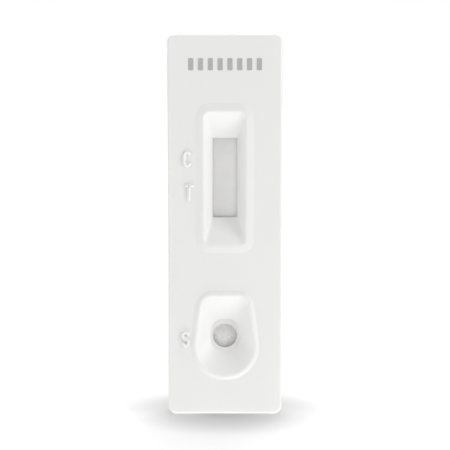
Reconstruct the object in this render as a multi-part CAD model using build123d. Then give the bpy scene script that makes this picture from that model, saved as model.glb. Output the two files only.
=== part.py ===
from build123d import *

# Lateral flow cassette: a two-part moulded housing, pressed together round a test strip.
#
# Sizes are millimetres. Each piece is modelled as it lies in its mould: X across the width,
# Y along the length from the foot, Z through the thickness from the back face to the front.
# At the end it is stood on its foot, with the window facing -Y and the foot's middle at the origin.

import os
from math import acos, atan2, cos, degrees, hypot, radians, sin

# Housing
length = 70.0
width = 21.0
body_thickness = 5.5  # back face to front face, without the raised lips
corner_radius = 1.5  # corners seen from the front
wall = 1.2  # side and end walls
plate = 1.1  # front plate, also where it dips into the window and the well
floor = 1.2  # back plate
parting_height = 2.8  # where the two shells meet, above the back face
face_round = 0.4  # rounded rim of the front and back faces
parting_bevel = 0.15  # each shell's half of the groove at the parting
inside_radius = 0.6  # corners of the hollow

# Raised lip round each opening
lip_height = 0.25
lip_land = 0.35  # level top of the lip
mouth_round = 0.2  # where the lip turns down into the opening
window_lip_flank = 1.2  # width of the lip's outer slope, round the window
well_lip_flank = 0.6  # the same, round the well

# Sample well: a shield-shaped dish that leads down to a round hole
well_height = 14.4  # hole's centre above the foot
well_hole = 4.5
well_ledge = 0.5  # level ring between the hole and the dish's slopes
well_hole_wall = 0.4  # straight wall of the hole, below that ring
well_rim_gap = 0.3  # between that wall and the pad below it
dish_radius = 5.4  # big round of the shield
dish_drop = 1.7  # its centre, below the hole's centre
dish_corner_radius = 2.0
dish_corner_spread = 2.5  # corner centres, each side of the middle
dish_corner_rise = 5.7  # corner centres, above the hole's centre
dish_foot_share = 0.2  # how much of those offsets is left at the foot of the slopes

# Read window: a long hole at the bottom of four mitred slopes
window_above_dish = 9.5  # from the dish's top edge to the window's mouth
window_below_top = 14.0  # from the window's mouth to the housing's top end
window_hole_width = 4.5
window_hole_radius = 0.3  # its corners
window_mouth_radius = 1.1  # corners where the slopes begin
window_side_run = 1.6  # steep slopes beside the hole, seen from the front
window_end_run = 4.85  # gentle slopes above and below it
window_hole_wall = 0.3  # straight wall of the hole, below the slopes
window_rim_gap = 0.3  # between that wall and the membrane below it

# Pins of the front shell and the bosses that take them
pin_rows = 3
pin_inset = 5.5  # outermost rows, from the housing's ends
pin_diameter = 1.6
pin_clearance = 0.02  # between pin and boss, all round
pin_end_gap = 0.3  # below the pin's tip
pin_tip_bevel = 0.2
boss_diameter = 3.0
boss_wall_gap = 0.6  # between the boss and the side wall
boss_seat_gap = 0.05  # between the boss and the collar above it

# Cradle for the strip
ribs_per_row = 5  # cross ribs from one row of pins to the next
rib_thickness = 0.8
rib_height = 0.95
rail_thickness = 0.8
rail_rise = 0.25  # above the strip's backing card
rail_notch = 3.0  # gaps in the rails, half way between the ribs that carry pins
strip_side_gap = 0.15
strip_end_gap = 0.15
strip_end_room = 3.8  # from the hollow's end to the strip

# Test strip
strip_width = 5.0
backing_thickness = 0.25
membrane_thickness = 0.14
conjugate_thickness = 0.4
sample_thickness = 0.5
absorbent_thickness = 0.9
pad_lap = 2.0  # each pad over its neighbour
pad_lap_ramp = 0.8  # where a pad's top rises over that lap
pad_reach = 1.8  # how far the pads reach in under the window's end slopes
sample_pad_margin = 4.5  # sample pad beyond the dish

# Pressure bars of the front shell
bar_thickness = 1.0
bar_side_gap = 0.2  # narrower than the strip, each side
bar_pad_gap = 0.1  # between the bar and the pad below it

# Levels and places that follow
front_face = body_thickness
lip_top = front_face + lip_height
ceiling = front_face - plate
hollow_width = width - 2 * wall
hollow_length = length - 2 * wall

dish_top = well_height + dish_corner_rise + dish_corner_radius
window_start = dish_top + window_above_dish
window_end = length - window_below_top
window_height = (window_start + window_end) / 2
window_mouth_width = window_hole_width + 2 * window_side_run
window_mouth_length = window_end - window_start
window_hole_length = window_mouth_length - 2 * window_end_run

pin_offset = hollow_width / 2 - boss_wall_gap - boss_diameter / 2
pin_pitch = (length - 2 * pin_inset) / (pin_rows - 1)
pin_places = [
    (side * pin_offset, pin_inset + row * pin_pitch) for row in range(pin_rows) for side in (-1, 1)
]
rib_pitch = pin_pitch / ribs_per_row
rib_heights = [pin_inset + number * rib_pitch for number in range((pin_rows - 1) * ribs_per_row + 1)]

strip_start = wall + strip_end_room
strip_end = length - wall - strip_end_room
cradle_height = floor + rib_height
backing_top = cradle_height + backing_thickness
window_rim = backing_top + membrane_thickness + window_rim_gap
window_foot = window_rim + window_hole_wall
well_rim = backing_top + sample_thickness + well_rim_gap
well_foot = well_rim + well_hole_wall

sample_end = dish_top + sample_pad_margin
conjugate_start = sample_end - pad_lap
conjugate_end = window_start + pad_reach
membrane_start = conjugate_end - pad_lap
absorbent_start = window_end - pad_reach
membrane_end = absorbent_start + pad_lap


def between(plan, low, high):
    """A plan pushed up from one level to another."""
    return Pos(0, 0, low) * extrude(plan, high - low)


def sloped(low_plan, low, high_plan, high):
    """A solid with straight slopes from one plan to another of the same make."""
    return loft([Pos(0, 0, low) * low_plan, Pos(0, 0, high) * high_plan], ruled=True)


def housing_plan():
    """The housing seen from the front."""
    return Pos(0, length / 2) * RectangleRounded(width, length, corner_radius)


def hollow_plan():
    """The hollow inside the side and end walls."""
    return Pos(0, length / 2) * RectangleRounded(hollow_width, hollow_length, inside_radius)


def strip_plan(start, end, side_gap=0.0):
    """A rectangle as wide as the strip and a gap at each side."""
    return Pos(0, (start + end) / 2) * Rectangle(strip_width + 2 * side_gap, end - start)


def window_hole_plan():
    """The window's hole."""
    hole = RectangleRounded(window_hole_width, window_hole_length, window_hole_radius)
    return Pos(0, window_height) * hole


def window_mouth_plan(growth=0.0):
    """The edge where the window's slopes begin, grown by the same amount all round."""
    mouth = RectangleRounded(
        window_mouth_width + 2 * growth, window_mouth_length + 2 * growth, window_mouth_radius + growth
    )
    return Pos(0, window_height) * mouth


def shield_plan(low_radius, top_radius, share):
    """A flat-topped shield: one big round below two small ones, joined by straight sides.

    The share scales how far the rounds' centres stand from the hole's centre.
    """
    low_y = well_height - share * dish_drop
    corner_x = share * dish_corner_spread
    corner_y = well_height + share * dish_corner_rise
    apart = hypot(corner_x, corner_y - low_y)
    lean = degrees(atan2(corner_y - low_y, corner_x) - acos((low_radius - top_radius) / apart))
    shoulder = (
        corner_x + top_radius * cos(radians(lean)),
        corner_y + top_radius * sin(radians(lean)),
    )

    low_round = CenterArc((0, low_y), low_radius, 180 - lean, 180 + 2 * lean)
    right_side = Line(low_round @ 1, shoulder)
    right_corner = CenterArc((corner_x, corner_y), top_radius, lean, 90 - lean)
    top = Line(right_corner @ 1, (-corner_x, corner_y + top_radius))
    left_corner = CenterArc((-corner_x, corner_y), top_radius, 90, 90 - lean)
    left_side = Line(left_corner @ 1, low_round @ 0)
    return make_face(low_round + right_side + right_corner + top + left_corner + left_side)


def well_mouth_plan(growth=0.0):
    """The edge where the dish's slopes begin, grown by the same amount all round."""
    return shield_plan(dish_radius + growth, dish_corner_radius + growth, 1.0)


def well_foot_plan():
    """The level ring at the foot of the dish's slopes."""
    return shield_plan(well_hole / 2 + well_ledge, dish_corner_radius, dish_foot_share)


def window_slopes(drop=0.0):
    """The window's four slopes as a solid, lowered by a drop."""
    return sloped(window_hole_plan(), window_foot - drop, window_mouth_plan(), lip_top - drop)


def well_slopes(drop=0.0):
    """The dish's slopes as a solid, lowered by a drop."""
    return sloped(well_foot_plan(), well_foot - drop, well_mouth_plan(), lip_top - drop)


def lips():
    """The low raised lips round the window and the well."""
    window_base = window_mouth_plan(lip_land + window_lip_flank)
    window_lip = sloped(window_base, front_face, window_mouth_plan(lip_land), lip_top)
    well_base = well_mouth_plan(lip_land + well_lip_flank)
    well_lip = sloped(well_base, front_face, well_mouth_plan(lip_land), lip_top)
    return window_lip + well_lip


def dipped_plate():
    """The front plate where it dips towards the strip, still one plate thick."""
    below_window = between(hollow_plan(), window_rim, ceiling)
    below_well = between(hollow_plan(), well_rim, ceiling)
    return (window_slopes(plate) & below_window) + (well_slopes(plate) & below_well)


def openings():
    """What is cut out of the front plate: the slopes and the holes below them."""
    window_hole = between(window_hole_plan(), window_rim, window_foot)
    well_circle = Pos(0, well_height) * Circle(well_hole / 2)
    well_hole_cut = between(well_circle, well_rim, well_foot)
    return window_slopes() + window_hole + well_slopes() + well_hole_cut


def pin():
    """One pin and the collar it stands on, hanging from the front plate."""
    collar_foot = parting_height + boss_seat_gap
    tip = floor + pin_end_gap
    collar = between(Circle(boss_diameter / 2), collar_foot, ceiling)
    stem = between(Circle(pin_diameter / 2), tip, collar_foot)
    stem = chamfer(stem.edges().sort_by(Axis.Z)[0], pin_tip_bevel)
    return collar + stem


def boss():
    """One hollow boss on the back plate."""
    bore = pin_diameter / 2 + pin_clearance
    return between(Circle(boss_diameter / 2) - Circle(bore), floor, parting_height)


def pressure_bars():
    """Two bars that hold down the pads at the sample's end and at the far end."""
    span = strip_width - 2 * bar_side_gap
    sample_lap_top = backing_top + conjugate_thickness + sample_thickness
    absorbent_top = backing_top + absorbent_thickness
    lap_middle = sample_end - pad_lap / 2
    far_middle = (membrane_end + strip_end) / 2
    bar_plan = Rectangle(span, bar_thickness)
    low_bar = between(Pos(0, lap_middle) * bar_plan, sample_lap_top + bar_pad_gap, ceiling)
    high_bar = between(Pos(0, far_middle) * bar_plan, absorbent_top + bar_pad_gap, ceiling)
    return low_bar + high_bar


def strip_fence():
    """The rails beside the strip and the stops at its ends, with notches to lift it by."""
    outer_gap = strip_side_gap + rail_thickness
    start = strip_start - strip_end_gap
    end = strip_end + strip_end_gap
    ring = strip_plan(start - rail_thickness, end + rail_thickness, outer_gap)
    ring -= strip_plan(start, end, strip_side_gap)
    notch = Rectangle(strip_width + 2 * outer_gap, rail_notch)
    for row in range(pin_rows - 1):
        ring -= Pos(0, pin_inset + (row + 0.5) * pin_pitch) * notch
    return between(ring, floor, backing_top + rail_rise)


def cross_ribs():
    """Low ribs from wall to wall that carry the strip and tie the bosses in."""
    rib_plan = Rectangle(hollow_width, rib_thickness)
    ribs = [Pos(0, place) * rib_plan for place in rib_heights]
    return between(Sketch() + ribs, floor, cradle_height)


def make_top_shell():
    """Front half of the housing."""
    block = between(housing_plan(), parting_height, front_face)
    block = fillet(block.edges().group_by(Axis.Z)[-1], face_round)
    block = chamfer(block.edges().group_by(Axis.Z)[0], parting_bevel)
    shell = block + lips() - between(hollow_plan(), parting_height, ceiling)
    shell = shell + dipped_plate() + pressure_bars() - openings()
    lands = shell.faces().group_by(Axis.Z)[-1]
    mouths = [edge for land in lands for wire in land.inner_wires() for edge in wire.edges()]
    shell = fillet(mouths, mouth_round)
    return shell + [Pos(x, y) * pin() for x, y in pin_places]


def make_bottom_shell():
    """Back half of the housing."""
    block = between(housing_plan(), 0, parting_height)
    block = fillet(block.edges().group_by(Axis.Z)[0], face_round)
    block = chamfer(block.edges().group_by(Axis.Z)[-1], parting_bevel)
    shell = block - between(hollow_plan(), floor, parting_height)
    shell = shell + cross_ribs() + strip_fence()
    bores = [Pos(x, y) * Circle(pin_diameter / 2 + pin_clearance) for x, y in pin_places]
    shell = shell - between(Sketch() + bores, floor, cradle_height)
    return shell + [Pos(x, y) * boss() for x, y in pin_places]


def lapped_pad(free_end, lapped_end, thickness, neighbour_thickness):
    """A pad on the backing card whose lapped end lies over its thinner neighbour."""
    along = 1 if lapped_end > free_end else -1
    lap_start = lapped_end - along * pad_lap
    ramp_start = lap_start - along * pad_lap_ramp
    top = backing_top + thickness
    outline = Polyline(
        (free_end, backing_top),
        (lap_start, backing_top),
        (lap_start, backing_top + neighbour_thickness),
        (lapped_end, backing_top + neighbour_thickness),
        (lapped_end, top + neighbour_thickness),
        (lap_start, top + neighbour_thickness),
        (ramp_start, top),
        (free_end, top),
        close=True,
    )
    return extrude(Plane.YZ * make_face(outline), strip_width / 2, both=True)


def make_backing_card():
    """The plastic card under the whole strip."""
    return between(strip_plan(strip_start, strip_end), cradle_height, backing_top)


def make_membrane():
    """The membrane under the window, held at both ends by the pads over it."""
    return between(strip_plan(membrane_start, membrane_end), backing_top, backing_top + membrane_thickness)


def make_conjugate_pad():
    """The fibre pad that feeds the membrane."""
    return lapped_pad(conjugate_start, conjugate_end, conjugate_thickness, membrane_thickness)


def make_sample_pad():
    """The fibre pad under the well."""
    return lapped_pad(strip_start, sample_end, sample_thickness, conjugate_thickness)


def make_absorbent_pad():
    """The thick pad that draws the sample along."""
    return lapped_pad(strip_end, absorbent_start, absorbent_thickness, membrane_thickness)


def stood_on_foot(piece):
    """A piece turned from its mould's position to stand on the foot, centred in depth."""
    return Pos(0, lip_top / 2, 0) * Rot(90, 0, 0) * piece


pieces = {
    "top_shell": make_top_shell(),
    "bottom_shell": make_bottom_shell(),
    "backing_card": make_backing_card(),
    "membrane": make_membrane(),
    "conjugate_pad": make_conjugate_pad(),
    "sample_pad": make_sample_pad(),
    "absorbent_pad": make_absorbent_pad(),
}

os.makedirs("parts", exist_ok=True)
for name, piece in pieces.items():
    export_step(stood_on_foot(piece), f"parts/{name}.step")
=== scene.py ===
"""Visual model of a lateral flow cassette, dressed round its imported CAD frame.

The frame gives the places: metres, +Z up along the test strip, the window facing -Y.
"""

import logging
import math
from dataclasses import dataclass
from enum import Enum

import bmesh
import bpy
from mathutils import Matrix, Vector, noise


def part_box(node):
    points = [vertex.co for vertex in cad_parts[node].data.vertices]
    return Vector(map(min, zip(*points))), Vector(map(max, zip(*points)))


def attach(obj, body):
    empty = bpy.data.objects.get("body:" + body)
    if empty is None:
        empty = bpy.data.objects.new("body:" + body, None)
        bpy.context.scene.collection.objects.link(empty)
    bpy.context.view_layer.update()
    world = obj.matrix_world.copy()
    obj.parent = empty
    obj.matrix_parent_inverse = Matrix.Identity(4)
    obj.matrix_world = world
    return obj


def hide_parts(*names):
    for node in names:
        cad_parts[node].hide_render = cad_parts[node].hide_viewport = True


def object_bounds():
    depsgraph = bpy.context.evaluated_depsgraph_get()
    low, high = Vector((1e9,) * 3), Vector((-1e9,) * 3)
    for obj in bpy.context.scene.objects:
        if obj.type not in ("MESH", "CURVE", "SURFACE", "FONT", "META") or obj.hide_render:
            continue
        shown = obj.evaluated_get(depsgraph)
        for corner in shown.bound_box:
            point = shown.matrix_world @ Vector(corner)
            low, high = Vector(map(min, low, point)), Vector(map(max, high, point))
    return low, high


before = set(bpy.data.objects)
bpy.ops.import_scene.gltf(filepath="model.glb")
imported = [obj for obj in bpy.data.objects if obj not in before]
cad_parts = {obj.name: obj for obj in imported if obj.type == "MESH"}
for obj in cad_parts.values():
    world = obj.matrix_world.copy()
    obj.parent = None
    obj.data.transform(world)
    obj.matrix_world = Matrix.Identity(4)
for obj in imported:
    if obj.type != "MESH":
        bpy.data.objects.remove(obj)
cad_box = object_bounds()

log = logging.getLogger("cassette")

MM = 0.001
FLAT = 0.99999  # a face whose normal has at least this much of Y is a flat front
ALONG = 0.9  # an edge whose direction has at least this much of an axis runs along it
MERGE = 0.0005 * MM  # points nearer to each other than this become one
ARC_STEP = 10  # degrees from point to point of a letter's round strokes

Socket = bpy.types.NodeSocket
Value = float | tuple[float, ...] | Socket  # what a node's input takes
Line = list[tuple[float, float]]  # a stroke's middle line, across and up in millimetres


class Slot(Enum):
    """The record's material slots, one kept on each pad; nothing here reads them."""

    SHELL = "shell_plastic"
    CONJUGATE = "conjugate_fibre"
    SAMPLE = "sample_fibre"
    ABSORBENT = "absorbent_fibre"


class Side(Enum):
    """Which end of a pad lies over its neighbour, as a direction along Z."""

    UPPER = 1
    LOWER = -1


# Node helpers


class NodeBench:
    """Adds nodes to one tree and joins them."""

    def __init__(self, tree: bpy.types.NodeTree) -> None:
        """Starts on an empty tree.

        Args:
            tree: The tree of a material, a world or a node group.
        """
        self.tree = tree
        tree.nodes.clear()

    def add(
        self, kind: str, sockets: dict[str | int, Value] | None = None, **settings: object
    ) -> bpy.types.Node:
        """Adds a node.

        Args:
            kind: The node's type.
            sockets: Values, or output sockets to join, by the input's name or number.
            **settings: The node's own settings.

        Returns:
            The new node.
        """
        node = self.tree.nodes.new(kind)
        for name, value in settings.items():
            setattr(node, name, value)
        for name, value in (sockets or {}).items():
            if isinstance(value, Socket):
                self.tree.links.new(value, node.inputs[name])
            else:
                node.inputs[name].default_value = value
        return node

    def math(self, operation: str, first: Value, second: Value = 0.0) -> Socket:
        """A Math node's result for two values or sockets."""
        return self.add("ShaderNodeMath", {0: first, 1: second}, operation=operation).outputs[0]

    def ranged(
        self, value: Socket, low: float, high: float, start: float = 0.0, stop: float = 1.0
    ) -> Socket:
        """A value mapped to a new range.

        Args:
            value: The socket to map.
            low: The result at the start of the range.
            high: The result at its end.
            start: The value where the range starts.
            stop: The value where it ends.

        Returns:
            The mapped value's socket.
        """
        sockets = {"Value": value, "From Min": start, "From Max": stop, "To Min": low, "To Max": high}
        return self.add("ShaderNodeMapRange", sockets).outputs["Result"]

    def blend(self, factor: Value, first: Value, second: Value) -> Socket:
        """A colour between two colours."""
        node = self.add("ShaderNodeMix", {0: factor, 6: first, 7: second}, data_type="RGBA")
        return node.outputs[2]

    def noise(self, place: Socket, scale: Value, **values: float) -> Socket:
        """A noise field from 0 to 1.

        Args:
            place: The place that it is read at.
            scale: Its grains to a metre, a value or a socket.
            **values: The node's Detail, Roughness or Distortion.

        Returns:
            The field's socket.
        """
        sockets = {"Vector": place, "Scale": scale, **values}
        return self.add("ShaderNodeTexNoise", sockets).outputs[0]

    def bump(self, height: Socket, depth: float) -> Socket:
        """The normal of a face with fine relief.

        Args:
            height: The relief, from 0 to 1.
            depth: How high 1 stands, in metres.

        Returns:
            The normal's socket.
        """
        sockets = {"Height": height, "Strength": 1.0, "Distance": depth}
        return self.add("ShaderNodeBump", sockets).outputs[0]

    def object_place(self) -> Socket:
        """The shaded point's place in the piece's own coordinates, in metres."""
        return self.add("ShaderNodeTexCoord").outputs["Object"]


def opaque(level: float, warmth: float = 0.0) -> tuple[float, float, float, float]:
    """A near-white colour.

    Args:
        level: Linear brightness.
        warmth: How much less blue it has than red, as a share of the level.

    Returns:
        Linear red, green, blue and alpha.
    """
    return (level, level * (1 - warmth / 3), level * (1 - warmth), 1.0)


def make_group(
    name: str, inputs: dict[str, float], outputs: list[str]
) -> tuple[NodeBench, bpy.types.Node, bpy.types.Node]:
    """Starts a shader node group that reads a place and puts out values.

    Args:
        name: The group's name.
        inputs: Its number inputs and their usual values.
        outputs: Its number outputs.

    Returns:
        A bench on the group's tree, its input node and its output node.
    """
    tree = bpy.data.node_groups.new(name, "ShaderNodeTree")
    tree.interface.new_socket("Place", in_out="INPUT", socket_type="NodeSocketVector")
    for label, value in inputs.items():
        socket = tree.interface.new_socket(label, in_out="INPUT", socket_type="NodeSocketFloat")
        socket.default_value = value
    for label in outputs:
        tree.interface.new_socket(label, in_out="OUTPUT", socket_type="NodeSocketFloat")
    bench = NodeBench(tree)
    return bench, bench.add("NodeGroupInput"), bench.add("NodeGroupOutput")


class MouldGrain:
    """Shared effect: the fine satin grain and slow flow marks of a moulded plastic face."""

    USUAL = {"Grain": 14000.0, "Flow": 90.0}  # to a metre
    GRAIN_NOISE = {"Detail": 2.0, "Roughness": 0.6}
    FLOW_NOISE = {"Detail": 3.0, "Distortion": 0.6}
    FLOW_STRETCH = (1.0, 1.0, 0.35)
    FLOW_SPAN = (0.35, 0.65)  # the part of the noise that the mask spreads from 0 to 1

    def __init__(self) -> None:
        """Builds the node group."""
        bench, given, made = make_group("mould_grain", self.USUAL, ["Height", "Flow Mask"])
        place = given.outputs["Place"]
        fine = bench.noise(place, given.outputs["Grain"], **self.GRAIN_NOISE)
        stretched = bench.add("ShaderNodeMapping", {"Vector": place, "Scale": self.FLOW_STRETCH})
        flow = bench.noise(stretched.outputs[0], given.outputs["Flow"], **self.FLOW_NOISE)
        flow_mask = bench.ranged(flow, 0.0, 1.0, *self.FLOW_SPAN)
        bench.tree.links.new(fine, made.inputs["Height"])
        bench.tree.links.new(flow_mask, made.inputs["Flow Mask"])
        self.tree = bench.tree


class FeltedFibres:
    """Shared effect: fibres that cross at several angles in a pressed pad."""

    USUAL = {"Fibres": 9000.0, "Clumps": 1400.0}  # to a metre
    ANGLES = (12.0, 58.0, 103.0, 151.0)
    DRAWN = (1.0, 0.4, 1 / 7)  # the noise is drawn out along a fibre by one over this
    STRAND_NOISE = {"Detail": 1.0, "Distortion": 1.1}
    STRAND_MIDDLE = 0.5  # a fibre runs where the noise has this value
    STRAND_WIDTH = 0.045
    CLUMP_NOISE = {"Detail": 3.0, "Roughness": 0.6}
    CLUMP_SPAN = (0.3, 0.7)

    def __init__(self) -> None:
        """Builds the node group."""
        bench, given, made = make_group("felted_fibres", self.USUAL, ["Height", "Clump Mask"])
        place = given.outputs["Place"]
        height = None
        for angle in self.ANGLES:
            turn = (0.0, math.radians(angle), 0.0)
            turned = bench.add("ShaderNodeMapping", {"Vector": place, "Rotation": turn}).outputs[0]
            drawn = bench.add("ShaderNodeMapping", {"Vector": turned, "Scale": self.DRAWN}).outputs[0]
            strand = bench.noise(drawn, given.outputs["Fibres"], **self.STRAND_NOISE)
            ridge = bench.math("ABSOLUTE", bench.math("SUBTRACT", strand, self.STRAND_MIDDLE))
            crest = bench.ranged(ridge, 1.0, 0.0, stop=self.STRAND_WIDTH)
            height = crest if height is None else bench.math("MAXIMUM", height, crest)
        clumps = bench.noise(place, given.outputs["Clumps"], **self.CLUMP_NOISE)
        clump_mask = bench.ranged(clumps, 0.0, 1.0, *self.CLUMP_SPAN)
        bench.tree.links.new(height, made.inputs["Height"])
        bench.tree.links.new(clump_mask, made.inputs["Clump Mask"])
        self.tree = bench.tree


# Finishes


def start_material(name: str) -> tuple[bpy.types.Material, NodeBench, bpy.types.Node]:
    """Starts a material with a Principled shader.

    Args:
        name: The material's name.

    Returns:
        The material, a bench on its tree and the shader node.
    """
    material = bpy.data.materials.new(name)
    material.use_nodes = True
    bench = NodeBench(material.node_tree)
    shader = bench.add("ShaderNodeBsdfPrincipled")
    bench.add("ShaderNodeOutputMaterial", {"Surface": shader.outputs[0]})
    return material, bench, shader


@dataclass(frozen=True)
class PlasticFinish:
    """White moulded or rolled plastic: satin grain, slow flow marks, a clear but soft gloss."""

    name: str
    level: float = 0.85  # linear brightness
    unevenness: float = 0.008
    warmth: float = 0.01
    roughness: float = 0.42
    roughness_spread: float = 0.05
    grain_depth: float = 0.02 * MM
    index: float = 1.55  # of refraction
    translucency: float = 0.25
    bleed: float = 0.8 * MM  # how far light travels inside
    bleed_by_colour: tuple[float, float, float] = (1.0, 1.0, 1.0)  # red, green and blue alike

    def material(self, grain: MouldGrain) -> bpy.types.Material:
        """Makes the material.

        Args:
            grain: The shared grain group.

        Returns:
            The finished material.
        """
        material, bench, shader = start_material(self.name)
        texture = bench.add("ShaderNodeGroup", node_tree=grain.tree)
        bench.tree.links.new(bench.object_place(), texture.inputs["Place"])
        flow = texture.outputs["Flow Mask"]
        low = opaque(self.level * (1 - self.unevenness), self.warmth)
        high = opaque(self.level * (1 + self.unevenness), self.warmth)
        spread = self.roughness_spread
        rough = bench.ranged(flow, self.roughness - spread, self.roughness + spread)
        normal = bench.bump(texture.outputs["Height"], self.grain_depth)
        bench.tree.links.new(bench.blend(flow, low, high), shader.inputs["Base Color"])
        bench.tree.links.new(rough, shader.inputs["Roughness"])
        bench.tree.links.new(normal, shader.inputs["Normal"])
        shader.inputs["IOR"].default_value = self.index
        shader.inputs["Subsurface Weight"].default_value = self.translucency
        shader.inputs["Subsurface Radius"].default_value = self.bleed_by_colour
        shader.inputs["Subsurface Scale"].default_value = self.bleed
        return material


@dataclass(frozen=True)
class FibreFinish:
    """A pressed fibre pad: matt, slightly mottled, with crossing fibres."""

    name: str
    level: float = 0.7  # linear brightness
    warmth: float = 0.02
    mottle: float = 0.05
    dark_warmth: float = 1.5  # how many times warmer the darker places are
    strand_over_gap_shade_gain: float = 0.15  # how much lighter a fibre's crest is: the fibres' own colour, and painted shade in the gaps between them
    strand_over_gap_shade_share: float = 0.7  # how much of that shows
    fibre_depth: float = 0.03 * MM
    fibres: float = 9000.0
    roughness: float = 0.95
    specular: float = 0.2
    sheen: float = 0.15

    def material(self, felt: FeltedFibres) -> bpy.types.Material:
        """Makes the material.

        Args:
            felt: The shared fibre group.

        Returns:
            The finished material.
        """
        material, bench, shader = start_material(self.name)
        texture = bench.add("ShaderNodeGroup", node_tree=felt.tree)
        bench.tree.links.new(bench.object_place(), texture.inputs["Place"])
        texture.inputs["Fibres"].default_value = self.fibres
        low = opaque(self.level * (1 - self.mottle), self.warmth * self.dark_warmth)
        high = opaque(self.level * (1 + self.mottle), self.warmth)
        colour = bench.blend(texture.outputs["Clump Mask"], low, high)
        # Fibre crests lighter than the gaps between them: the fibres' own colour, and painted shade in
        # the gaps.
        strand_over_gap_shade = opaque(min(1.0, self.level * (1 + self.strand_over_gap_shade_gain)), self.warmth)
        shown = bench.ranged(texture.outputs["Height"], 0.0, self.strand_over_gap_shade_share)
        normal = bench.bump(texture.outputs["Height"], self.fibre_depth)
        bench.tree.links.new(bench.blend(shown, colour, strand_over_gap_shade), shader.inputs["Base Color"])
        bench.tree.links.new(normal, shader.inputs["Normal"])
        shader.inputs["Roughness"].default_value = self.roughness
        shader.inputs["Specular IOR Level"].default_value = self.specular
        shader.inputs["Sheen Weight"].default_value = self.sheen
        return material


@dataclass(frozen=True)
class FilmFinish:
    """A matt microporous membrane."""

    name: str
    level: float = 0.94  # linear brightness
    cloudiness: float = 0.015
    warmth: float = 0.012
    pore_scale: float = 14000.0
    pore_depth: float = 0.008 * MM
    cloud_scale: float = 500.0
    cloud_span: tuple[float, float] = (0.35, 0.65)
    roughness: float = 0.85
    specular: float = 0.3

    PORE_NOISE = {"Detail": 3.0, "Roughness": 0.7}
    CLOUD_NOISE = {"Detail": 4.0}

    def material(self) -> bpy.types.Material:
        """Makes the material.

        Returns:
            The finished material.
        """
        material, bench, shader = start_material(self.name)
        place = bench.object_place()
        pores = bench.noise(place, self.pore_scale, **self.PORE_NOISE)
        cloud = bench.noise(place, self.cloud_scale, **self.CLOUD_NOISE)
        mask = bench.ranged(cloud, 0.0, 1.0, *self.cloud_span)
        low = opaque(self.level * (1 - self.cloudiness), self.warmth)
        high = opaque(self.level * (1 + self.cloudiness), self.warmth)
        bench.tree.links.new(bench.blend(mask, low, high), shader.inputs["Base Color"])
        bench.tree.links.new(bench.bump(pores, self.pore_depth), shader.inputs["Normal"])
        shader.inputs["Roughness"].default_value = self.roughness
        shader.inputs["Specular IOR Level"].default_value = self.specular
        return material


@dataclass(frozen=True)
class InkFinish:
    """Pad-printed grey ink with a faint speckle where the plastic shows through."""

    name: str
    ink: float = 0.42  # linear brightness
    thin_ink: float = 0.56  # where the plastic shows through
    speckle_scale: float = 9000.0
    speckle_detail: float = 2.0
    speckle_span: tuple[float, float] = (0.45, 0.75)
    roughness: float = 0.5
    thin_roughness: float = 0.65

    def material(self) -> bpy.types.Material:
        """Makes the material.

        Returns:
            The finished material.
        """
        material, bench, shader = start_material(self.name)
        speckle = bench.noise(bench.object_place(), self.speckle_scale, Detail=self.speckle_detail)
        mask = bench.ranged(speckle, 0.0, 1.0, *self.speckle_span)
        colour = bench.blend(mask, opaque(self.ink), opaque(self.thin_ink))
        bench.tree.links.new(colour, shader.inputs["Base Color"])
        rough = bench.ranged(mask, self.roughness, self.thin_roughness)
        bench.tree.links.new(rough, shader.inputs["Roughness"])
        return material


# Mesh helpers


def dress(piece: bpy.types.Object, material: bpy.types.Material) -> None:
    """Puts one material on a whole piece.

    Args:
        piece: A CAD node or a new piece.
        material: Its finish.
    """
    if not piece.material_slots:
        piece.data.materials.append(material)
    for slot in piece.material_slots:
        slot.material = material


def new_piece(
    name: str, mesh: bpy.types.Mesh, material: bpy.types.Material
) -> bpy.types.Object:
    """Links a finished mesh as a piece of the object.

    Args:
        name: The piece's name.
        mesh: Its mesh, already in place.
        material: Its finish.

    Returns:
        The piece's object.
    """
    mesh.name = name
    piece = bpy.data.objects.new(name, mesh)
    bpy.context.scene.collection.objects.link(piece)
    dress(piece, material)
    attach(piece, "root")
    log.info("%s: %d faces", name, len(mesh.polygons))
    return piece


def mesh_from(bm: bmesh.types.BMesh, name: str, smooth_below: float = 30.0) -> bpy.types.Mesh:
    """Turns a bmesh into a mesh with soft shading below an angle, and hard edges round flat fronts.

    Args:
        bm: The finished bmesh, which is freed.
        name: The mesh's name.
        smooth_below: Edges sharper than this many degrees stay hard.

    Returns:
        The mesh.
    """
    bmesh.ops.recalc_face_normals(bm, faces=bm.faces)
    for face in bm.faces:
        face.smooth = True
    for edge in bm.edges:
        level = [abs(face.normal.y) > FLAT for face in edge.link_faces]
        bends = edge.calc_face_angle(0.0) > math.radians(smooth_below)
        edge.smooth = not bends and (all(level) or not any(level))
    mesh = bpy.data.meshes.new(name)
    bm.to_mesh(mesh)
    bm.free()
    return mesh


def runs_along(edge: bmesh.types.BMEdge, axis: int) -> bool:
    """Whether an edge runs along an axis.

    Args:
        edge: The edge.
        axis: 0, 1 or 2 for X, Y or Z.

    Returns:
        True if it does, within about 25 degrees.
    """
    first, last = (vertex.co for vertex in edge.verts)
    return abs((last - first).normalized()[axis]) > ALONG


def facing_front() -> Matrix:
    """Turns a flat drawing in XY so that it reads upright from the front."""
    return Matrix.Rotation(math.radians(90), 4, "X")


# The letters


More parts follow.
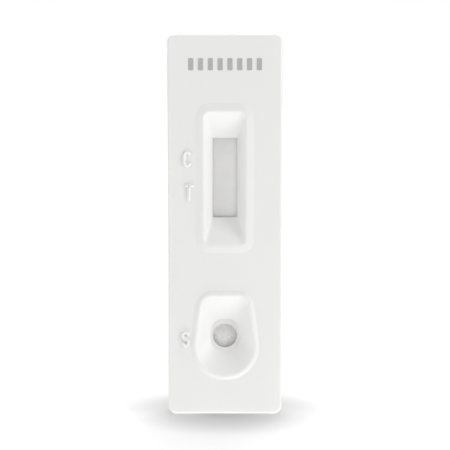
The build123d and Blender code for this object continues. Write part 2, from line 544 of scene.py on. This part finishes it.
def arc(middle: tuple[float, float], radii: tuple[float, float], start: float, stop: float) -> Line:
    """Points along part of an ellipse.

    Args:
        middle: Its middle, across and up.
        radii: Its half width and half height.
        start: The first angle in degrees, anticlockwise from the right.
        stop: The last angle.

    Returns:
        The points, in the order they are drawn.
    """
    count = round(abs(stop - start) / ARC_STEP)
    points = []
    for number in range(count + 1):
        angle = math.radians(start + (stop - start) * number / count)
        points.append((middle[0] + radii[0] * math.cos(angle), middle[1] + radii[1] * math.sin(angle)))
    return points


@dataclass(frozen=True)
class Mark:
    """One raised letter of the front shell."""

    name: str
    strokes: list[Line]  # drawn round the letter's own middle
    middle_x: float
    middle_z: float


LETTER_C = [arc((0.0, 0.0), (0.62, 1.25), 50, 310)]
LETTER_T = [[(-0.62, 1.2), (0.62, 1.2)], [(0.0, 1.05), (0.0, -1.25)]]
LETTER_S = [arc((0.0, 0.62), (0.52, 0.63), 20, 270) + arc((0.0, -0.63), (0.52, 0.62), 80, -160)]
MARKS = (
    Mark("mark_control", LETTER_C, -6.9 * MM, 47.4 * MM),
    Mark("mark_test", LETTER_T, -6.6 * MM, 41.3 * MM),
    Mark("mark_sample", LETTER_S, -7.3 * MM, 14.1 * MM),
)


# The housing


@dataclass
class Housing:
    """The two moulded shells, with the raised marks and the printed bars on the front."""

    shell: PlasticFinish
    ink: InkFinish
    marks: tuple[Mark, ...] = MARKS
    lip_height: float = 0.25 * MM
    mark_stroke: float = 0.32 * MM  # half the width of a stroke, and its rise above the face
    mark_dome: tuple[float, ...] = (20.0, 40.0, 60.0, 80.0)  # angles of a stroke's round end
    mark_steps: int = 5  # how finely a stroke is rounded
    mark_smooth: float = 40.0  # degrees
    bar_count: int = 8
    bar_width: float = 0.95 * MM
    bar_height: float = 2.2 * MM
    bar_row: float = 13.4 * MM
    bar_corner: float = 0.2 * MM
    bar_corner_steps: int = 4
    bar_middle_z: float = 64.6 * MM
    ink_rise: float = 0.012 * MM

    def __post_init__(self) -> None:
        """Finds the level of the front face, behind the lips."""
        self.face_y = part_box("top_shell")[0].y + self.lip_height

    def round_ended(self, path: Line) -> list[tuple[Vector, float]]:
        """A stroke's points and widths, with an extra dome of points past both ends.

        Args:
            path: The stroke's middle line.

        Returns:
            Each point in metres, and the stroke's width there as a share of the whole width.
        """
        line = [Vector((x, y)) * MM for x, y in path]
        first = (line[0] - line[1]).normalized() * self.mark_stroke
        last = (line[-1] - line[-2]).normalized() * self.mark_stroke
        domes = [math.radians(angle) for angle in self.mark_dome]
        before = [(line[0] + first * math.sin(angle), math.cos(angle)) for angle in reversed(domes)]
        after = [(line[-1] + last * math.sin(angle), math.cos(angle)) for angle in domes]
        return before + [(point, 1.0) for point in line] + after

    def letter_mesh(self, mark: Mark) -> bpy.types.Mesh:
        """A raised letter of round strokes, half sunk in the face.

        Args:
            mark: The letter and its place.

        Returns:
            The letter's mesh, in place.
        """
        curve = bpy.data.curves.new(mark.name, "CURVE")
        curve.dimensions = "3D"
        curve.bevel_depth = self.mark_stroke
        curve.bevel_resolution = self.mark_steps
        curve.use_fill_caps = True
        for path in mark.strokes:
            points = self.round_ended(path)
            spline = curve.splines.new("POLY")
            spline.points.add(len(points) - 1)
            for made, (place, width) in zip(spline.points, points):
                made.co = (place.x, place.y, 0.0, 1.0)
                made.radius = width
        drawn = bpy.data.objects.new(mark.name + "_drawn", curve)
        bpy.context.scene.collection.objects.link(drawn)
        seen = drawn.evaluated_get(bpy.context.evaluated_depsgraph_get())
        mesh = bpy.data.meshes.new_from_object(seen)
        bpy.data.objects.remove(drawn)
        place = Matrix.Translation((mark.middle_x, self.face_y, mark.middle_z))
        mesh.transform(place @ facing_front())
        bm = bmesh.new()
        bm.from_mesh(mesh)
        bmesh.ops.remove_doubles(bm, verts=bm.verts, dist=MERGE)
        return mesh_from(bm, mark.name, self.mark_smooth)

    def bar_mesh(self) -> bpy.types.Mesh:
        """A row of plain printed bars, a hundredth of a millimetre above the face.

        Returns:
            The bars' mesh, in place.
        """
        bm = bmesh.new()
        pitch = (self.bar_row - self.bar_width) / (self.bar_count - 1)
        for number in range(self.bar_count):
            made = bmesh.ops.create_cube(bm, size=1.0)["verts"]
            bmesh.ops.scale(bm, vec=(self.bar_width, 2 * self.ink_rise, self.bar_height), verts=made)
            x = -self.bar_row / 2 + self.bar_width / 2 + number * pitch
            bmesh.ops.translate(bm, vec=(x, self.face_y, self.bar_middle_z), verts=made)
        corners = [edge for edge in bm.edges if runs_along(edge, 1)]
        bmesh.ops.bevel(
            bm,
            geom=corners,
            offset=self.bar_corner,
            segments=self.bar_corner_steps,
            profile=0.5,
            affect="EDGES",
            material=-1,
        )
        return mesh_from(bm, "print_bars")

    def build(self, grain: MouldGrain) -> None:
        """Dresses the shells and adds the marks and the print.

        Args:
            grain: The shared grain group.
        """
        plastic = self.shell.material(grain)
        for node in ("top_shell", "bottom_shell"):
            dress(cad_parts[node], plastic)
            log.info("%s: dressed as %s", node, plastic.name)
        for mark in self.marks:
            new_piece(mark.name, self.letter_mesh(mark), plastic)
        new_piece("print_bars", self.bar_mesh(), self.ink.material())


# The test strip


@dataclass
class FibrePad:
    """A pad of pressed fibre whose one end lies over its thinner neighbour."""

    name: str
    node: str
    slot: Slot
    finish: FibreFinish
    thickness: float
    lapped: Side
    lap: float = 2.0 * MM
    lap_ramp: float = 0.8 * MM
    cell: float = 0.2 * MM
    relief: float = 0.02 * MM
    relief_scale: float = 1600.0
    relief_top: float = 0.6  # where the noise is above this, the face is level
    edge_wear: float = 0.06 * MM
    edge_reach: float = 0.35 * MM
    swell: float = 0.0  # how far it stands up in the well's hole, where nothing presses on it
    swell_z: float = 0.0  # the height of the hole's middle
    swell_reach: float = 2.1 * MM
    smooth: float = 50.0  # degrees

    OCTAVES = (1.0, 2.0, 3)  # the relief noise's dimension, spacing and number of octaves

    def block(self, low: Vector, high: Vector) -> bmesh.types.BMesh:
        """A flat block as large as the pad, cut into small cells.

        Args:
            low: The node's lowest corner.
            high: Its highest corner.

        Returns:
            The block, its back on the backing card.
        """
        bm = bmesh.new()
        bmesh.ops.create_cube(bm, size=1.0)
        size = Vector((high.x - low.x, self.thickness, high.z - low.z))
        middle = Vector(((low.x + high.x) / 2, high.y - self.thickness / 2, (low.z + high.z) / 2))
        bmesh.ops.scale(bm, vec=size, verts=bm.verts)
        bmesh.ops.translate(bm, vec=middle, verts=bm.verts)
        for axis, length in ((2, size.z), (0, size.x)):
            along = [edge for edge in bm.edges if runs_along(edge, axis)]
            bmesh.ops.subdivide_edges(bm, edges=along, cuts=round(length / self.cell), use_grid_fill=True)
        return bm

    def lap_share(self, z: float, low: Vector, high: Vector) -> float:
        """How far the pad has risen on to its neighbour at a height, from 0 to 1.

        Args:
            z: The height.
            low: The node's lowest corner.
            high: Its highest corner.

        Returns:
            The share of the whole rise.
        """
        if self.lapped is Side.UPPER:
            past = z - (high.z - self.lap - self.lap_ramp)
        else:
            past = (low.z + self.lap + self.lap_ramp) - z
        share = min(1.0, max(0.0, past / self.lap_ramp))
        return share * share * (3 - 2 * share)

    def swell_share(self, x: float, z: float) -> float:
        """How much of the swell a place on the pad has.

        Args:
            x: Its distance to the right of the middle.
            z: Its height.

        Returns:
            The share, 1 in the middle of the hole and 0 at its rim.
        """
        out = math.hypot(x, z - self.swell_z) / self.swell_reach
        return max(0.0, 1 - out**2) ** 2

    def mesh(self) -> bpy.types.Mesh:
        """The pad with its lap, its worn cut edges and its uneven faces.

        Returns:
            The pad's mesh, in place.
        """
        low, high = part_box(self.node)
        rise = (high.y - low.y) - self.thickness
        bm = self.block(low, high)
        middle_y = high.y - self.thickness / 2
        for vertex in bm.verts:
            place = vertex.co.copy()
            front = place.y < middle_y
            to_edge = min(place.x - low.x, high.x - place.x, place.z - low.z, high.z - place.z)
            wear = self.edge_wear * max(0.0, 1 - to_edge / self.edge_reach) ** 2
            height = noise.fractal(place * self.relief_scale, *self.OCTAVES)
            uneven = self.relief * (height - self.relief_top)
            vertex.co.y -= rise * self.lap_share(place.z, low, high)
            if front:
                vertex.co.y += wear - min(0.0, uneven) - self.swell * self.swell_share(place.x, place.z)
        return mesh_from(bm, self.name, self.smooth)

    def build(self, felt: FeltedFibres) -> None:
        """Adds the pad in place of its CAD node.

        Args:
            felt: The shared fibre group.
        """
        piece = new_piece(self.name, self.mesh(), self.finish.material(felt))
        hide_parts(self.node)


def strip_pads() -> list[FibrePad]:
    """The strip's three pads, from the sample end up."""
    return [
        FibrePad(
            name="sample_felt",
            node="sample_pad",
            slot=Slot.SAMPLE,
            finish=FibreFinish("sample_felt", level=0.94, fibre_depth=0.02 * MM),
            thickness=0.5 * MM,
            lapped=Side.UPPER,
            cell=0.1 * MM,
            relief=0.05 * MM,
            swell=0.24 * MM,
            swell_z=14.4 * MM,
        ),
        FibrePad(
            name="conjugate_felt",
            node="conjugate_pad",
            slot=Slot.CONJUGATE,
            finish=FibreFinish("conjugate_felt", level=0.68, warmth=0.06),
            thickness=0.4 * MM,
            lapped=Side.UPPER,
        ),
        FibrePad(
            name="absorbent_felt",
            node="absorbent_pad",
            slot=Slot.ABSORBENT,
            finish=FibreFinish("absorbent_felt", level=0.78, fibres=6000.0),
            thickness=0.9 * MM,
            lapped=Side.LOWER,
        ),
    ]


@dataclass
class TestStrip:
    """The backing card, the membrane and the three pads that lap along it."""

    card: PlasticFinish
    membrane: FilmFinish
    pads: list[FibrePad]

    def build(self, grain: MouldGrain, felt: FeltedFibres) -> None:
        """Dresses the card and the membrane and adds the pads.

        Args:
            grain: The shared grain group.
            felt: The shared fibre group.
        """
        dress(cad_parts["backing_card"], self.card.material(grain))
        dress(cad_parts["membrane"], self.membrane.material())
        log.info("backing_card and membrane: dressed")
        for pad in self.pads:
            pad.build(felt)


# The studio


@dataclass(frozen=True)
class SoftLamp:
    """A square area lamp aimed at the object's middle, placed in metres."""

    name: str
    place: tuple[float, float, float]
    side: float
    level: float

    def hang(self, target: Vector) -> None:
        """Adds the lamp.

        A lamp of pi squared watts at one metre shows a white face there at a level of 1.

        Args:
            target: The point that it faces, where its light has the named level.
        """
        light = bpy.data.lights.new(self.name, "AREA")
        light.shape = "SQUARE"
        light.size = self.side
        aim = target - Vector(self.place)
        light.energy = self.level * math.pi**2 * aim.length_squared
        lamp = bpy.data.objects.new(self.name, light)
        bpy.context.scene.collection.objects.link(lamp)
        lamp.location = self.place
        lamp.rotation_euler = aim.to_track_quat("-Z", "Y").to_euler()
        lamp.visible_camera = False


LAMPS = (
    SoftLamp("right_key", place=(0.45, -0.20, 0.12), side=0.16, level=0.43),
    SoftLamp("left_fill", place=(-0.50, -0.20, 0.10), side=0.45, level=0.33),
    SoftLamp("low_key", place=(0.05, -0.165, -0.50), side=0.45, level=0.57),
    SoftLamp("top_fill", place=(0.0, -0.18, 0.60), side=0.45, level=0.37),
    SoftLamp("overhead", place=(0.0, 0.22, 0.60), side=0.25, level=0.31),
    SoftLamp("back_fill", place=(0.15, 0.55, 0.35), side=0.40, level=0.26),
)


@dataclass
class Studio:
    """A white floor and surround, soft lamps and the camera."""

    lamps: tuple[SoftLamp, ...] = LAMPS
    sky_level: float = 0.21  # the surround's light on the object
    floor_side: float = 4.0
    floor_level: float = 0.54  # the paper's own colour
    painted_shadow_glow: float = 0.5  # the floor's camera glow past its painted contact shadow round the foot
    painted_shadow_core: float = 3.8 * MM
    painted_shadow_reach: float = 19.5 * MM
    far_reach: float = 200 * MM  # the floor is plain white from here on
    painted_bounce_at_foot: float = 0.42  # painted bounce light: the floor's glow on the object, from beside the foot
    painted_bounce_further: float = 0.24  # and from further off
    painted_bounce_reach: float = 60 * MM
    lens: float = 120.0  # in millimetres, as cameras are marked
    fill: float = 0.84  # the object's height as a share of the picture's
    elevation: float = 6.0  # degrees above the level

    def lay_floor(self) -> None:
        """Adds the floor: it takes the object's shadow nearby, darkened further by a painted shadow where
        its camera glow is nil round the foot, and is plain white further off.

        It also glows on the object, a painted bounce light that stands in for what a wide white table
        would throw back at the foot.
        """
        bm = bmesh.new()
        bmesh.ops.create_grid(bm, x_segments=1, y_segments=1, size=self.floor_side / 2)
        floor = bpy.data.objects.new("floor", mesh_from(bm, "floor"))
        bpy.context.scene.collection.objects.link(floor)
        floor.visible_shadow = False  # the low lamp shines up through the floor
        material = bpy.data.materials.new("floor_paper")
        material.use_nodes = True
        bench = NodeBench(material.node_tree)
        paper = bench.add("ShaderNodeBsdfDiffuse", {"Color": opaque(self.floor_level)})
        away = bench.add("ShaderNodeVectorMath", {0: bench.object_place()}, operation="LENGTH")
        far = away.outputs["Value"]
        # Painted shadow: the glow seen by the camera is nil within a few millimetres of the foot and
        # rises away from it, leaving a soft dark pool.
        near = bench.ranged(far, 0.0, self.painted_shadow_glow, start=self.painted_shadow_core, stop=self.painted_shadow_reach)
        wide = bench.ranged(far, 0.0, 1 - self.painted_shadow_glow, start=self.painted_shadow_reach, stop=self.far_reach)
        # Painted bounce light: the floor glows on the object, strongest beside the foot.
        painted_bounce = bench.ranged(far, self.painted_bounce_at_foot, self.painted_bounce_further, stop=self.painted_bounce_reach)
        seen = self.background_rays(bench)
        shown = bench.math("MULTIPLY", bench.math("ADD", near, wide), seen)
        painted_bounce_on_object = bench.math("MULTIPLY", painted_bounce, bench.math("SUBTRACT", 1.0, seen))
        light = bench.add("ShaderNodeEmission", {"Strength": bench.math("ADD", shown, painted_bounce_on_object)})
        both = bench.add("ShaderNodeAddShader", {0: paper.outputs[0], 1: light.outputs[0]})
        bench.add("ShaderNodeOutputMaterial", {"Surface": both.outputs[0]})
        dress(floor, material)

    def background_rays(self, bench: NodeBench) -> Socket:
        """Picks out the rays that show the background, straight, mirrored or through glass.

        Args:
            bench: The tree to add the nodes to.

        Returns:
            A socket that is 1 for those rays and 0 for light on the object.
        """
        path = bench.add("ShaderNodeLightPath")
        straight = path.outputs["Is Camera Ray"]
        mirrored = path.outputs["Is Glossy Ray"]
        through = path.outputs["Is Transmission Ray"]
        return bench.math("MAXIMUM", bench.math("MAXIMUM", straight, mirrored), through)

    def hang_sky(self) -> None:
        """Makes the world: mild white light on the object, plain white where it is seen."""
        world = bpy.data.worlds.new("surround")
        bpy.context.scene.world = world
        world.use_nodes = True
        bench = NodeBench(world.node_tree)
        strength = bench.ranged(self.background_rays(bench), self.sky_level, 1.0)
        sky = bench.add("ShaderNodeBackground", {"Color": opaque(1.0), "Strength": strength})
        bench.add("ShaderNodeOutputWorld", {"Surface": sky.outputs[0]})

    def place_camera(self, low: Vector, high: Vector) -> None:
        """Adds the camera, straight in front and a little above the middle.

        Args:
            low: The object's lowest corner.
            high: Its highest corner.
        """
        view = bpy.data.cameras.new("camera")
        view.lens = self.lens
        camera = bpy.data.objects.new("camera", view)
        bpy.context.scene.collection.objects.link(camera)
        middle = (low + high) / 2
        half_view = view.sensor_width / 2 / self.lens
        distance = (high.z - low.z) / 2 / self.fill / half_view
        angle = math.radians(self.elevation)
        back = Vector((0.0, -math.cos(angle), math.sin(angle)))
        camera.location = middle + back * distance
        camera.rotation_euler = (-back).to_track_quat("-Z", "Y").to_euler()
        bpy.context.scene.camera = camera

    def build(self, low: Vector, high: Vector) -> None:
        """Sets up the whole studio round the object.

        Args:
            low: The object's lowest corner.
            high: Its highest corner.
        """
        self.lay_floor()
        self.hang_sky()
        for lamp in self.lamps:
            lamp.hang((low + high) / 2)
        self.place_camera(low, high)
        bpy.context.scene.view_settings.view_transform = "Standard"


def main() -> None:
    """Builds the cassette and its studio."""
    logging.basicConfig(level=logging.INFO, format="%(name)s: %(message)s")
    grain = MouldGrain()
    felt = FeltedFibres()
    Housing(shell=PlasticFinish("shell_white"), ink=InkFinish("grey_ink")).build(grain)
    card = PlasticFinish("card_white", level=0.86, roughness=0.25, grain_depth=0.001 * MM)
    TestStrip(card=card, membrane=FilmFinish("membrane_white"), pads=strip_pads()).build(grain, felt)
    Studio().build(*cad_box)


if __name__ == "__main__":
    main()
